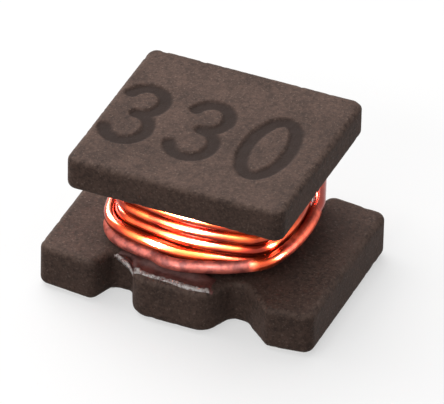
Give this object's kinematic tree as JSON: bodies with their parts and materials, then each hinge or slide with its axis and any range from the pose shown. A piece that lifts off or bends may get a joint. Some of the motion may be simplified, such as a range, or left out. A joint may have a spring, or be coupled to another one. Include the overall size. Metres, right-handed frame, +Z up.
{
  "type": "drum core smd inductor",
  "caption": "Surface mount power inductor: a drum shaped ferrite core with a notched base flange, wound with enamelled copper wire and soldered to plated feet.",
  "frame": {"origin": "on the board plane, under the middle of the post", "axes": "+X along the length of the part, +Y towards the rear, where both wire leads are, +Z up from the board"},
  "size_m": [0.0044, 0.0034, 0.0026],
  "materials": {
    "ferrite": "matt, fired and tumbled",
    "enamelled_copper": "glossy red enamel over copper",
    "tinned_silver": "satin tin over fired silver",
    "solder": "smooth, reflowed",
    "adhesive": "glossy, cured"
  },
  "bodies": {
    "root": {"drum_core": "ferrite", "winding": "enamelled_copper", "left_terminal": "tinned_silver", "right_terminal": "tinned_silver", "left_solder_joint": "solder", "right_solder_joint": "solder", "adhesive_bead": "adhesive"}
  },
  "joints": []
}
